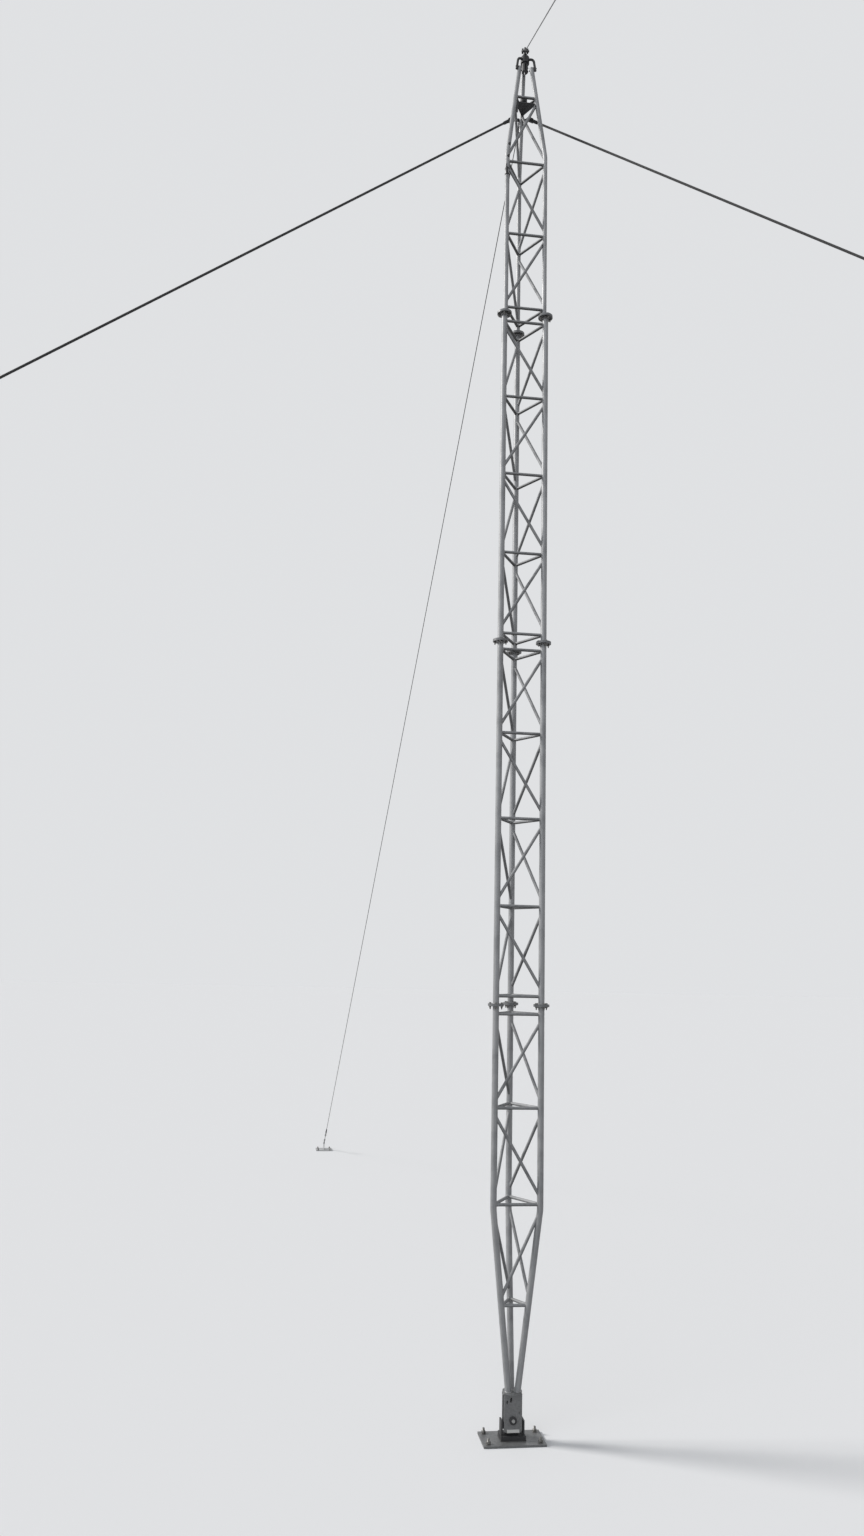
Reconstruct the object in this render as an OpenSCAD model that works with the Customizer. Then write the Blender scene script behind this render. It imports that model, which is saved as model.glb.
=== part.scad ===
// Stayed lattice mast of welded aluminium tube: four bolted sections, a pinned foot and four stays

/* [Sections] */
// Height of one full section between its joint faces
section_h = 3000; // [2800:20:3200]
// Height of the first joint face above the ground
first_joint_z = 3240; // [3200:10:3400]
// Distance between leg centres in the three lower sections
leg_spacing = 370; // [350:5:400]
// Distance between leg centres in the top section
top_leg_spacing = 350; // [336:2:380]
// Height at which the legs bend in towards the foot
low_bend_z = 1690; // [1660:5:1700]
// Height of the crown that the legs end on
crown_top_z = 352; // [346:1:370]
// Height at which the legs bend in towards the head
high_bend_z = 10840; // [10800:5:10860]
// Height of the leg ends under the head
head_z = 11800; // [11760:5:11820]
// How far each leg leans inwards below the low bend, in degrees
low_lean = 7.3; // [6.8:0.1:7.5]
// How far each leg leans inwards above the high bend, in degrees
high_lean = 8.1; // [7.6:0.1:8.2]
// Radius of the leg bends, along the tube's centre line
bend_r = 300; // [250:10:400]

/* [Tubes] */
// Outside diameter of the legs in the three lower sections
leg_d = 50; // [44:1:54]
// Outside diameter of the legs in the top section
top_leg_d = 40; // [34:1:44]
// Wall of the leg tubes
leg_wall = 4; // [2:0.5:6]
// Outside diameter of the bracing tubes
brace_d = 25; // [18:1:30]
// Wall of the bracing tubes
brace_wall = 3; // [1.5:0.5:4]

/* [Bracing] */
// Distance from a joint face to the ring bars beside it
ring_offset = 70; // [60:5:90]
// Distance along a leg from a ring bar to the end of a diagonal
diagonal_gap = 50; // [46:2:70]
// Height of the small ring above the foot
foot_ring_z = 978; // [950:5:1010]
// Height of the ring just above the low bend
bend_ring_z = 1724; // [1720:2:1740]
// Height of one bay in the top section
top_bay_h = 722; // [700:2:730]
// Height of the small ring under the head
head_ring_z = 11465; // [11420:5:11470]
// How far the triangular plate lies below the small ring under the head
head_plate_drop = 50; // [44:2:60]

/* [Joints] */
// Diameter of a joint flange
flange_d = 128; // [110:2:140]
// Thickness of one flange
flange_t = 10; // [6:1:14]
// Diameter of the circle through the flange bolts
flange_bolt_circle = 92; // [84:2:100]
// Diameter of a flange bolt hole
flange_bolt_hole = 12; // [8:1:14]

/* [Foot] */
// Width of the base plate
base_w = 480; // [400:10:700]
// Depth of the base plate
base_depth = 280; // [240:10:500]
// Thickness of the base plate
base_t = 16; // [10:1:25]
// Diameter of the base plate's bolt holes
base_bolt_hole = 22; // [14:1:30]
// Distance of the bolt holes from the plate's edges
base_bolt_edge = 40; // [35:5:80]
// Height of the foot pin
foot_pin_z = 152; // [145:1:165]
// Diameter of the foot pin
foot_pin_d = 32; // [24:1:40]
// Width of the foot's cheek plates
cheek_w = 140; // [120:2:144]
// Thickness of the foot's cheek plates
cheek_t = 14; // [10:1:18]
// Thickness of the tongue between the cheek plates
tongue_t = 50; // [40:1:56]

/* [Stays] */
// Diameter of the two side stays
side_stay_d = 20; // [12:1:24]
// Diameter of the fore and aft stay wires
wire_d = 8; // [5:1:10]
// Height of the bar behind the back leg that carries three of the stays
stay_bar_z = 11400; // [11390:1:11410]
// Distance of the port, starboard and aft anchors from the mast
anchor_r = 13500; // [12000:100:16000]
// Distance of the fore anchor from the mast
fore_anchor_r = 16000; // [12000:100:18000]
// Direction of the port anchor, anticlockwise from +X in degrees
port_angle = 192.5; // [180:0.5:225]
// Direction of the starboard anchor
starboard_angle = 320.5; // [300:0.5:345]
// Direction of the aft anchor
aft_angle = 93.5; // [80:0.5:100]
// Direction of the fore anchor
fore_angle = 262.5; // [240:0.5:280]

/* [Anchors] */
// Width of the square anchor plates
anchor_plate_w = 300; // [240:10:400]
// Thickness of the anchor plates
anchor_plate_t = 12; // [8:1:20]
// Diameter of the anchor plates' bolt holes
anchor_bolt_hole = 18; // [12:1:22]
// Distance of the anchor bolt holes from the plate's edges
anchor_bolt_edge = 40; // [30:5:60]
// Height of the eye that each stay is pinned to
anchor_eye_z = 120; // [100:5:160]

/* [Hidden] */
$fn = 32;

// Legs are numbered 0 left, 1 right and 2 back, and face k lies between leg k and the next one
LEFT = 0;
RIGHT = 1;
BACK = 2;

aluminium = "gainsboro";
steel = "darkgray";
dark_steel = "dimgray";
rope_black = "black";

joint_z = [first_joint_z, first_joint_z + section_h, first_joint_z + 2 * section_h];
leg_r = leg_spacing / sqrt(3);
top_leg_r = top_leg_spacing / sqrt(3);

// Ring heights of each section, from its lowest ring up
bottom_bay_h = (joint_z[0] - ring_offset - bend_ring_z) / 2;
bottom_rings = [foot_ring_z, bend_ring_z, bend_ring_z + bottom_bay_h, joint_z[0] - ring_offset];
function full_rings(z0) = [for (i = [0:4]) z0 + ring_offset + i * (section_h - 2 * ring_offset) / 4];
top_rings = concat([for (i = [0:2]) joint_z[2] + ring_offset + i * top_bay_h], [head_ring_z]);

function leg_angle(k) = 210 + 120 * k;
function facing(angle) = [cos(angle), sin(angle), 0];
// Distance of a leg's centre from the mast's axis at a height
function radial(z) = z < low_bend_z ? leg_r - (low_bend_z - z) * tan(low_lean)
    : z > high_bend_z ? top_leg_r - (z - high_bend_z) * tan(high_lean)
    : z > joint_z[2] ? top_leg_r : leg_r;
function on_leg(k, z) = radial(z) * facing(leg_angle(k)) + [0, 0, z];

// Places its children with their X axis on the line from one point to another, Y kept level
module lay(from, to) {
    v = to - from;
    translate(from)
        rotate([0, -asin(v.z / norm(v)), atan2(v.y, v.x)])
            children();
}

// A round bar along X
module bar(x0, x1, d) {
    translate([x0, 0, 0])
        rotate([0, 90, 0])
            cylinder(h = x1 - x0, d = d);
}

// Bars and tubes of the lattice

module brace(p, q) {
    length = norm(q - p);
    lay(p, q)
        difference() {
            bar(0, length, brace_d);
            bar(-1, length + 1, brace_d - 2 * brace_wall);
        }
}

// A leg's outside as plain bars, which cut the mouths of what meets it; turn puts a bar's seam elsewhere
module leg_cutter(k, z0, z1, d, turn = 0) {
    heights = concat([z0], z0 < low_bend_z ? [low_bend_z] : [], z1 > high_bend_z ? [high_bend_z] : [], [z1]);
    for (i = [0:len(heights) - 2]) {
        p = on_leg(k, heights[i]);
        q = on_leg(k, heights[i + 1]);
        lay(p, q)
            rotate([turn, 0, 0])
                bar(0, norm(q - p), d);
    }
}

// The bars of one face of a section: a ring bar at each height and one diagonal in each bay
module face_bars(k, rings, rises_first, d) {
    next = (k + 1) % 3;
    top = len(rings) - 1;
    difference() {
        union() {
            for (z = rings)
                brace(on_leg(k, z), on_leg(next, z));
            for (i = [0:top - 1]) {
                low = rings[i] + diagonal_gap;
                high = rings[i + 1] - diagonal_gap;
                rises = (i % 2 == 0) == rises_first;
                brace(on_leg(k, rises ? low : high), on_leg(next, rises ? high : low));
            }
        }
        for (leg = [k, next])
            leg_cutter(leg, rings[0] - 60, rings[top] + 60, d);
    }
}

module bottom_bracing(k) {
    color(aluminium)
        face_bars(k, bottom_rings, true, leg_d);
}

module lower_bracing(k) {
    color(aluminium)
        face_bars(k, full_rings(joint_z[0]), false, leg_d);
}

module upper_bracing(k) {
    color(aluminium)
        face_bars(k, full_rings(joint_z[1]), true, leg_d);
}

module top_bracing(k) {
    color(aluminium)
        face_bars(k, top_rings, true, top_leg_d);
}

// A bent bar in the XZ plane: it comes up the Z axis, then leans towards -X by the given angle
// The bend is a hair thinner than the straight lengths and runs a little way into both
bend_skin = 0.05;
bend_overlap = 0.4;
module bent_bar(straight, leaning, lean, d, r = bend_r) {
    reach = r * tan(lean / 2);
    translate([0, 0, -straight])
        cylinder(h = straight - reach, d = d);
    translate([-r, 0, -reach])
        rotate([90, 0, 0])
            rotate([0, 0, -bend_overlap])
                rotate_extrude(angle = lean + 2 * bend_overlap, $fn = 360)
                    translate([r, 0])
                        circle(d = d - 2 * bend_skin, $fn = 32);
    rotate([0, -lean, 0])
        translate([0, 0, reach])
            cylinder(h = leaning - reach, d = d);
}

module flange_disc(z) {
    translate([0, 0, z])
        cylinder(h = flange_t, d = flange_d);
}

module flange_holes(z) {
    for (a = [45:90:315])
        rotate([0, 0, a])
            translate([flange_bolt_circle / 2, 0, z - 1])
                cylinder(h = flange_t + 2, d = flange_bolt_hole);
}

// Bottom leg: a flange at its upper end, a bend, and a foot cut level on the crown
module bottom_leg(k) {
    straight = joint_z[0] - low_bend_z;
    leaning = (low_bend_z - crown_top_z) / cos(low_lean) + 20;
    color(aluminium)
        rotate([0, 0, leg_angle(k)])
            translate([leg_r, 0, 0])
                difference() {
                    union() {
                        translate([0, 0, low_bend_z])
                            mirror([0, 0, 1])
                                bent_bar(straight, leaning, low_lean, leg_d);
                        flange_disc(joint_z[0] - flange_t);
                    }
                    translate([0, 0, low_bend_z])
                        mirror([0, 0, 1])
                            bent_bar(straight + 1, leaning + 1, low_lean, leg_d - 2 * leg_wall);
                    flange_holes(joint_z[0] - flange_t);
                    translate([-leg_r - 100, -100, crown_top_z - 100])
                        cube([leg_r + 200, 200, 100]);
                }
}

// Middle leg: a straight tube with a flange at each end
module straight_leg(k, z0) {
    color(aluminium)
        rotate([0, 0, leg_angle(k)])
            translate([leg_r, 0, z0])
                difference() {
                    union() {
                        cylinder(h = section_h, d = leg_d);
                        flange_disc(0);
                        flange_disc(section_h - flange_t);
                    }
                    translate([0, 0, -1])
                        cylinder(h = section_h + 2, d = leg_d - 2 * leg_wall);
                    flange_holes(0);
                    flange_holes(section_h - flange_t);
                }
}

// Top leg: a flange at its lower end, a bend, and an upper end cut level under the head
module top_leg(k) {
    straight = high_bend_z - joint_z[2];
    leaning = (head_z - high_bend_z) / cos(high_lean) + 20;
    color(aluminium)
        rotate([0, 0, leg_angle(k)])
            difference() {
                union() {
                    translate([top_leg_r, 0, high_bend_z])
                        bent_bar(straight, leaning, high_lean, top_leg_d);
                    translate([leg_r, 0, 0])
                        flange_disc(joint_z[2]);
                }
                translate([top_leg_r, 0, high_bend_z])
                    bent_bar(straight + 1, leaning + 1, high_lean, top_leg_d - 2 * leg_wall);
                translate([leg_r, 0, 0])
                    flange_holes(joint_z[2]);
                translate([-100, -100, head_z])
                    cube([400, 200, 100]);
            }
}

// Foot and base

module base_plate() {
    color(steel)
        difference() {
            translate([-base_w / 2, -base_depth / 2, 0])
                cube([base_w, base_depth, base_t]);
            for (x = [-1, 1], y = [-1, 1])
                translate([x * (base_w / 2 - base_bolt_edge), y * (base_depth / 2 - base_bolt_edge), -1])
                    cylinder(h = base_t + 2, d = base_bolt_hole);
        }
}

// A plate across Y with its outline in X and Z, centred on the given Y
module upright_plate(y, t) {
    translate([0, y + t / 2, 0])
        rotate([90, 0, 0])
            linear_extrude(t)
                children();
}

// A lug outline: a round eye over a straight stem, bored for a pin
module lug_outline(eye_r, bore_d, stem) {
    difference() {
        union() {
            circle(r = eye_r);
            translate([-eye_r, -stem])
                square([2 * eye_r, stem]);
        }
        circle(d = bore_d);
    }
}

socket_pad_top = 50;
socket_pad_w = 190;
socket_pad_depth = 130;
guide_t = 12;
guide_top = 150;
guide_gap = 8;
tongue_r = 45;
pin_play = 0.4;
// Welded socket on the base plate: a pad, the tongue that the pin passes through, two side guides
module base_socket() {
    guide_x = cheek_w / 2 + guide_gap;
    guide_depth = tongue_t + 2 * cheek_t;
    color(dark_steel) {
        translate([-socket_pad_w / 2, -socket_pad_depth / 2, base_t])
            cube([socket_pad_w, socket_pad_depth, socket_pad_top - base_t]);
        upright_plate(0, tongue_t)
            translate([0, foot_pin_z])
                lug_outline(tongue_r, foot_pin_d + pin_play, foot_pin_z - base_t);
        for (x = [-guide_x - guide_t, guide_x])
            translate([x, -guide_depth / 2, base_t])
                cube([guide_t, guide_depth, guide_top - base_t]);
    }
}

fork_bottom_z = 68;
fork_play = 1;
crown_d = 150;
crown_t = 14;
neck_bottom_z = 318;
cross_bar_w = 96;
cross_bar_h = 22;
cross_bar_t = 8;
cheek_corner_r = 18;
// Slots in each cheek as x, z, width and height
cheek_slots = [[-44, 280, 16, 28], [-16, 296, 18, 36], [50, 204, 9, 12]];

module slot_outline(w, h) {
    square([w, h - w], center = true);
    for (end = [-1, 1])
        translate([0, end * (h - w) / 2])
            circle(d = w);
}

// A cheek plate's outline, its lower corners rounded, with the pin bore and the slots
module cheek_outline(top_z) {
    corner_x = cheek_w / 2 - cheek_corner_r;
    corner_z = fork_bottom_z + cheek_corner_r;
    difference() {
        union() {
            translate([-cheek_w / 2, corner_z])
                square([cheek_w, top_z - corner_z]);
            translate([-corner_x, fork_bottom_z])
                square([2 * corner_x, top_z - fork_bottom_z]);
            for (x = [-corner_x, corner_x])
                translate([x, corner_z])
                    circle(r = cheek_corner_r);
        }
        translate([0, foot_pin_z])
            circle(d = foot_pin_d + pin_play);
        for (slot = cheek_slots)
            translate([slot[0], slot[1]])
                slot_outline(slot[2], slot[3]);
    }
}

// Welded foot of the mast: a round crown under the legs, a neck block and two cheeks round the tongue
module foot_fork() {
    inside = tongue_t / 2 + fork_play;
    crown_z = crown_top_z - crown_t;
    color(steel) {
        translate([0, 0, crown_z])
            cylinder(h = crown_t, d = crown_d);
        translate([-cheek_w / 2, -inside - 1, neck_bottom_z])
            cube([cheek_w, 2 * inside + 2, crown_z - neck_bottom_z]);
        for (side = [-1, 1])
            upright_plate(side * (inside + cheek_t / 2), cheek_t)
                cheek_outline(crown_z);
        for (side = [-1, 1])
            translate([-cross_bar_w / 2, side * (inside + cheek_t + cross_bar_t / 2 - 0.5) - cross_bar_t / 2,
                fork_bottom_z + 1])
                cube([cross_bar_w, cross_bar_t, cross_bar_h]);
    }
}

pin_nut_d = 58;
pin_nut_t = 14;
pin_nut_edge = 2;
pin_tip_d = 24;
pin_tip_proud = 4;
pin_groove_d = 34;
pin_groove_depth = 3;
// The foot pin with a round nut on each end, recessed round the pin's reduced tip
module foot_pin() {
    half = tongue_t / 2 + fork_play + cheek_t;
    end = [[0, pin_nut_t + pin_tip_proud], [pin_tip_d / 2, pin_nut_t + pin_tip_proud],
        [pin_tip_d / 2, pin_nut_t - pin_groove_depth], [pin_groove_d / 2, pin_nut_t - pin_groove_depth],
        [pin_groove_d / 2, pin_nut_t], [pin_nut_d / 2 - pin_nut_edge, pin_nut_t],
        [pin_nut_d / 2, pin_nut_t - pin_nut_edge], [pin_nut_d / 2, 0], [foot_pin_d / 2, 0]];
    front = [for (point = end) [point.x, half + point.y]];
    back = [for (i = [len(end) - 1:-1:0]) [end[i].x, -half - end[i].y]];
    color(dark_steel)
        translate([0, 0, foot_pin_z])
            rotate([90, 0, 0])
                rotate_extrude()
                    polygon(concat(front, back));
}

// Head

head_plate_t = 8;
plate_opening_d = 30;
plate_opening = [38, -30];
strip_w = 14;
strip_t = 11;
strip_reach = 160;
strip_off_leg = 17;
housing_d = 64;
housing_h = 74;
housing_at = [-8, 2];
stud_d = 18;
stud_h = 30;
stud_at = [40, 8];
// Triangular plate under the small ring, welded between the three legs, with a round housing and a
// stud on it, and a strip that hangs from the front ring bar past the plate's left corner
module head_plate() {
    z = head_ring_z - head_plate_drop;
    ring_left = on_leg(LEFT, head_ring_z);
    ring_right = on_leg(RIGHT, head_ring_z);
    function corner_of(k) = [cos(leg_angle(k)), sin(leg_angle(k))];
    color(dark_steel)
        difference() {
            union() {
                translate([0, 0, z - head_plate_t])
                    linear_extrude(head_plate_t)
                        difference() {
                            polygon([for (k = [LEFT:BACK]) radial(z) * corner_of(k)]);
                            translate(plate_opening)
                                circle(d = plate_opening_d);
                        }
                translate([housing_at.x, housing_at.y, z - 1])
                    cylinder(h = housing_h + 1, d = housing_d);
                translate([stud_at.x, stud_at.y, z - 1])
                    cylinder(h = stud_h + 1, d = stud_d);
                translate([ring_left.x + strip_off_leg - strip_w / 2, ring_left.y - strip_t / 2,
                    head_ring_z - strip_reach])
                    cube([strip_w, strip_t, strip_reach]);
            }
            for (k = [LEFT:BACK])
                leg_cutter(k, head_ring_z - strip_reach - 50, head_ring_z + 50, top_leg_d, 90);
            lay(ring_left, ring_right)
                bar(0, norm(ring_right - ring_left), brace_d);
        }
}

arm_d = 22;
arm_bend_r = 50;
arm_gap = 0.2;
arm_low_z = head_z - 38;
crown_axis_z = head_z + 100;
hub_d = 80;
hub_h = 64;
hub_bore = 37;
// Three bent arms, which rise from the outsides of the legs and carry the hub of the spindle
module head_arms() {
    corner_x = radial(crown_axis_z) + (top_leg_d / 2 + arm_d / 2 + arm_gap) / cos(high_lean);
    color(dark_steel)
        difference() {
            union() {
                translate([0, 0, crown_axis_z - hub_h / 2])
                    cylinder(h = hub_h, d = hub_d);
                for (k = [LEFT:BACK])
                    rotate([0, 0, leg_angle(k)])
                        translate([corner_x, 0, crown_axis_z])
                            rotate([0, -high_lean, 0])
                                bent_bar((crown_axis_z - arm_low_z) / cos(high_lean), corner_x - 15,
                                    90 - high_lean, arm_d, arm_bend_r);
            }
            translate([0, 0, crown_axis_z - hub_h])
                cylinder(h = 2 * hub_h, d = hub_bore);
        }
}

spindle_d = 36;
spindle_sleeve_d = 58;
spindle_low_z = head_z - 28;
spindle_edge = 6;
spindle_slot_w = 9;
spindle_slot_top_z = head_z + 50;
spindle_collar_d = 50;
spindle_collar_h = 12;
spindle_neck_d = 38;
spindle_neck_h = 34;
spindle_eye_z = crown_axis_z + 104;
spindle_eye_r = 33;
spindle_eye_t = 16;
shackle_pin_d = 20;
// Turned spindle: a slotted sleeve below, the shaft in the hub, a collar and neck above, and a flat eye
module head_spindle() {
    hub_low = crown_axis_z - hub_h / 2;
    hub_high = crown_axis_z + hub_h / 2;
    collar_high = hub_high + spindle_collar_h;
    sleeve_r = spindle_sleeve_d / 2;
    color(dark_steel) {
        difference() {
            rotate_extrude()
                polygon([[0, spindle_low_z], [sleeve_r - spindle_edge, spindle_low_z],
                    [sleeve_r, spindle_low_z + spindle_edge], [sleeve_r, hub_low], [spindle_d / 2, hub_low],
                    [spindle_d / 2, hub_high], [spindle_collar_d / 2, hub_high],
                    [spindle_collar_d / 2, collar_high], [spindle_neck_d / 2, collar_high],
                    [spindle_neck_d / 2, hub_high + spindle_neck_h], [0, hub_high + spindle_neck_h]]);
            translate([-spindle_slot_w / 2, -sleeve_r - 1, spindle_low_z - 1])
                cube([spindle_slot_w, 2 * sleeve_r + 2, spindle_slot_top_z - spindle_low_z + 1]);
        }
        rotate([0, 0, fore_angle])
            upright_plate(0, spindle_eye_t)
                translate([0, spindle_eye_z])
                    lug_outline(spindle_eye_r, shackle_pin_d + 1, spindle_eye_z - collar_high);
    }
}

shackle_rod_d = 14;
shackle_half = 23;
shackle_leg = 46;
shackle_ear_d = 46;
head_eye = [0, 0, spindle_eye_z];
// D shackle on the spindle's eye, lying along the fore stay
module head_shackle() {
    color(dark_steel)
        lay(head_eye, eye_over(fore_foot)) {
            rotate([90, 0, 0])
                translate([0, 0, -shackle_half - 16])
                    cylinder(h = 2 * shackle_half + 26, d = shackle_pin_d);
            for (side = [-1, 1]) {
                translate([0, side * shackle_half, 0])
                    bar(0, shackle_leg, shackle_rod_d);
                translate([0, side * shackle_half + 7, 0])
                    rotate([90, 0, 0])
                        cylinder(h = 14, d = shackle_ear_d);
            }
            translate([shackle_leg, 0, 0])
                rotate([0, 0, -91])
                    rotate_extrude(angle = 182, $fn = 64)
                        translate([shackle_half, 0])
                            circle(d = shackle_rod_d - 0.1, $fn = 32);
        }
}

// Stay hardware, drawn along X with its pin on the Y axis; k is its size against the side stays'

lug_t = 16;
lug_pin_d = 14;
eye_r = 16;
ear_t = 8;
socket_length = 120;
socket_seat = 70;
rope_play = 0.4;

function lug_bore(k) = (lug_pin_d + 1) * k;

// The socket's round sleeve from its shoulder to its mouth, with the seat that the rope goes into
module sleeve(k, rope_d) {
    shoulder = 50 * k;
    difference() {
        translate([shoulder, 0, 0])
            rotate([0, 90, 0])
                rotate_extrude()
                    polygon([[0, 0], [15 * k, 0], [15 * k, socket_length * k - shoulder - 12 * k],
                        [12.5 * k, socket_length * k - shoulder], [0, socket_length * k - shoulder]]);
        bar(socket_seat * k, socket_length * k + 1, rope_d + rope_play);
    }
}

// The outline of a socket's ear or eye, rounded about the pin
module ear_outline(k, reach) {
    circle(r = eye_r * k);
    translate([0, -eye_r * k])
        square([reach * k, 2 * eye_r * k]);
}

// An open socket: two ears round a lug, their pin, and the sleeve
module open_socket(k, rope_d) {
    gap = (lug_t + 3) * k;
    half_w = gap / 2 + ear_t * k;
    for (side = [-1, 1])
        upright_plate(side * (gap + ear_t * k) / 2, ear_t * k)
            ear_outline(k, 46);
    translate([36 * k, -half_w, -eye_r * k])
        cube([15 * k, 2 * half_w, 2 * eye_r * k]);
    sleeve(k, rope_d);
    rotate([90, 0, 0])
        translate([0, 0, -half_w - 5 * k])
            cylinder(h = 2 * half_w + 10 * k, d = lug_pin_d * k);
}

// A closed socket: a bored eye and the sleeve
module closed_socket(k, rope_d, bore_d) {
    upright_plate(0, lug_t * k)
        difference() {
            ear_outline(k, 51);
            circle(d = bore_d);
        }
    sleeve(k, rope_d);
}

screw_length = 560;
screw_rod_d = 16;
// A rigging screw: two open sockets on threaded rods, and an open body that draws them together
module rigging_screw(k) {
    body = [150 * k, 410 * k];
    boss = 36 * k;
    rod_d = screw_rod_d * k;
    for (end = [0, 1])
        translate([end * screw_length * k, 0, 0])
            rotate([0, 0, 180 * end]) {
                open_socket(k, rod_d - rope_play - 1);
                bar((socket_seat - 5) * k, body[0] + 80 * k, rod_d);
            }
    difference() {
        union() {
            for (x = [body[0], body[1] - boss])
                bar(x, x + boss, 42 * k);
            for (side = [-1, 1])
                translate([0, 0, side * 15 * k])
                    bar(body[0] + 1, body[1] - 1, 9 * k);
        }
        for (x = [body[0], body[1] - boss])
            bar(x - 1, x + boss + 1, rod_d + rope_play);
    }
}

side_k = 1;
wire_k = 0.7;

// Where the stays start and end: ears on the bar behind the back leg, and eyes over the anchors
port_foot = anchor_r * facing(port_angle);
starboard_foot = anchor_r * facing(starboard_angle);
aft_foot = anchor_r * facing(aft_angle);
fore_foot = fore_anchor_r * facing(fore_angle);
function eye_over(foot) = foot + [0, 0, anchor_eye_z];

stay_bar_d = 30;
stay_bar_half = 40;
stay_bar_y = radial(stay_bar_z) + top_leg_d / 2 + stay_bar_d / 2 - 1;
ear_reach = 42;
function bar_point(x) = [x, stay_bar_y, stay_bar_z];
port_start = bar_point(-stay_bar_half) + ear_reach * facing(port_angle);
starboard_start = bar_point(stay_bar_half) + ear_reach * facing(starboard_angle);
aft_start = bar_point(0) + ear_reach * facing(aft_angle);
fore_reach = eye_over(fore_foot) - head_eye;
fore_start = head_eye + (shackle_leg + shackle_half) * fore_reach / norm(fore_reach);

// An ear on the stay bar, in the upright plane of its stay
module stay_ear(x, angle, k) {
    translate(bar_point(x))
        rotate([0, 0, angle])
            upright_plate(0, lug_t * k)
                difference() {
                    union() {
                        translate([ear_reach, 0])
                            circle(r = eye_r * k);
                        translate([0, -eye_r * k])
                            square([ear_reach, 2 * eye_r * k]);
                    }
                    translate([ear_reach, 0])
                        circle(d = lug_bore(k));
                }
}

module stay_bar() {
    color(dark_steel)
        difference() {
            union() {
                translate(bar_point(0))
                    bar(-stay_bar_half - 8, stay_bar_half + 8, stay_bar_d);
                stay_ear(-stay_bar_half, port_angle, side_k);
                stay_ear(stay_bar_half, starboard_angle, side_k);
                stay_ear(0, aft_angle, wire_k);
            }
            leg_cutter(BACK, stay_bar_z - 100, stay_bar_z + 100, top_leg_d);
        }
}

// The rope of a stay between its sockets, and the closed socket at its lower end
module stay_rope(length, k, d) {
    bar(socket_seat * k + 1, length - socket_seat * k - 1, d);
    translate([length, 0, 0])
        rotate([0, 0, 180])
            closed_socket(k, d, lug_bore(k));
}

// A stay from the bar behind the back leg to its rigging screw
module stay(start, foot, k, d, tone) {
    color(tone)
        lay(start, eye_over(foot)) {
            open_socket(k, d);
            stay_rope(norm(eye_over(foot) - start) - screw_length * k, k, d);
        }
}

// The fore stay, which hangs in the head shackle
module fore_stay() {
    color(steel)
        lay(fore_start, eye_over(fore_foot)) {
            closed_socket(wire_k, wire_d, shackle_rod_d + 3);
            stay_rope(norm(eye_over(fore_foot) - fore_start) - screw_length * wire_k, wire_k, wire_d);
        }
}

module screw_on(start, foot, k) {
    color(steel)
        lay(eye_over(foot), start)
            rigging_screw(k);
}

// A ground anchor: a drilled plate with a lug in the upright plane of its stay
module anchor(foot, angle, k) {
    color(steel)
        translate(foot) {
            difference() {
                translate([-anchor_plate_w / 2, -anchor_plate_w / 2, 0])
                    cube([anchor_plate_w, anchor_plate_w, anchor_plate_t]);
                for (x = [-1, 1], y = [-1, 1])
                    translate([x, y, 0] * (anchor_plate_w / 2 - anchor_bolt_edge) - [0, 0, 1])
                        cylinder(h = anchor_plate_t + 2, d = anchor_bolt_hole);
            }
            rotate([0, 0, angle])
                upright_plate(0, lug_t * k)
                    difference() {
                        union() {
                            translate([0, anchor_eye_z])
                                circle(r = eye_r * k);
                            polygon([[-eye_r * k, anchor_eye_z], [eye_r * k, anchor_eye_z],
                                [90 * k, anchor_plate_t - 1], [-90 * k, anchor_plate_t - 1]]);
                        }
                        translate([0, anchor_eye_z])
                            circle(d = lug_bore(k));
                    }
        }
}

base_plate();
base_socket();
foot_pin();
foot_fork();
bottom_leg(LEFT);  // bottom_leg_left
bottom_leg(RIGHT);  // bottom_leg_right
bottom_leg(BACK);  // bottom_leg_back
bottom_bracing(LEFT);  // bottom_bracing_front
bottom_bracing(RIGHT);  // bottom_bracing_right
bottom_bracing(BACK);  // bottom_bracing_left
straight_leg(LEFT, joint_z[0]);  // lower_leg_left
straight_leg(RIGHT, joint_z[0]);  // lower_leg_right
straight_leg(BACK, joint_z[0]);  // lower_leg_back
lower_bracing(LEFT);  // lower_bracing_front
lower_bracing(RIGHT);  // lower_bracing_right
lower_bracing(BACK);  // lower_bracing_left
straight_leg(LEFT, joint_z[1]);  // upper_leg_left
straight_leg(RIGHT, joint_z[1]);  // upper_leg_right
straight_leg(BACK, joint_z[1]);  // upper_leg_back
upper_bracing(LEFT);  // upper_bracing_front
upper_bracing(RIGHT);  // upper_bracing_right
upper_bracing(BACK);  // upper_bracing_left
top_leg(LEFT);  // top_leg_left
top_leg(RIGHT);  // top_leg_right
top_leg(BACK);  // top_leg_back
top_bracing(LEFT);  // top_bracing_front
top_bracing(RIGHT);  // top_bracing_right
top_bracing(BACK);  // top_bracing_left
head_plate();
head_arms();
head_spindle();
head_shackle();
stay_bar();
stay(port_start, port_foot, side_k, side_stay_d, rope_black);  // port_stay
stay(starboard_start, starboard_foot, side_k, side_stay_d, rope_black);  // starboard_stay
stay(aft_start, aft_foot, wire_k, wire_d, steel);  // aft_stay
fore_stay();
screw_on(port_start, port_foot, side_k);  // port_rigging_screw
screw_on(starboard_start, starboard_foot, side_k);  // starboard_rigging_screw
screw_on(aft_start, aft_foot, wire_k);  // aft_rigging_screw
screw_on(fore_start, fore_foot, wire_k);  // fore_rigging_screw
anchor(port_foot, port_angle, side_k);  // port_anchor
anchor(starboard_foot, starboard_angle, side_k);  // starboard_anchor
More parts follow.
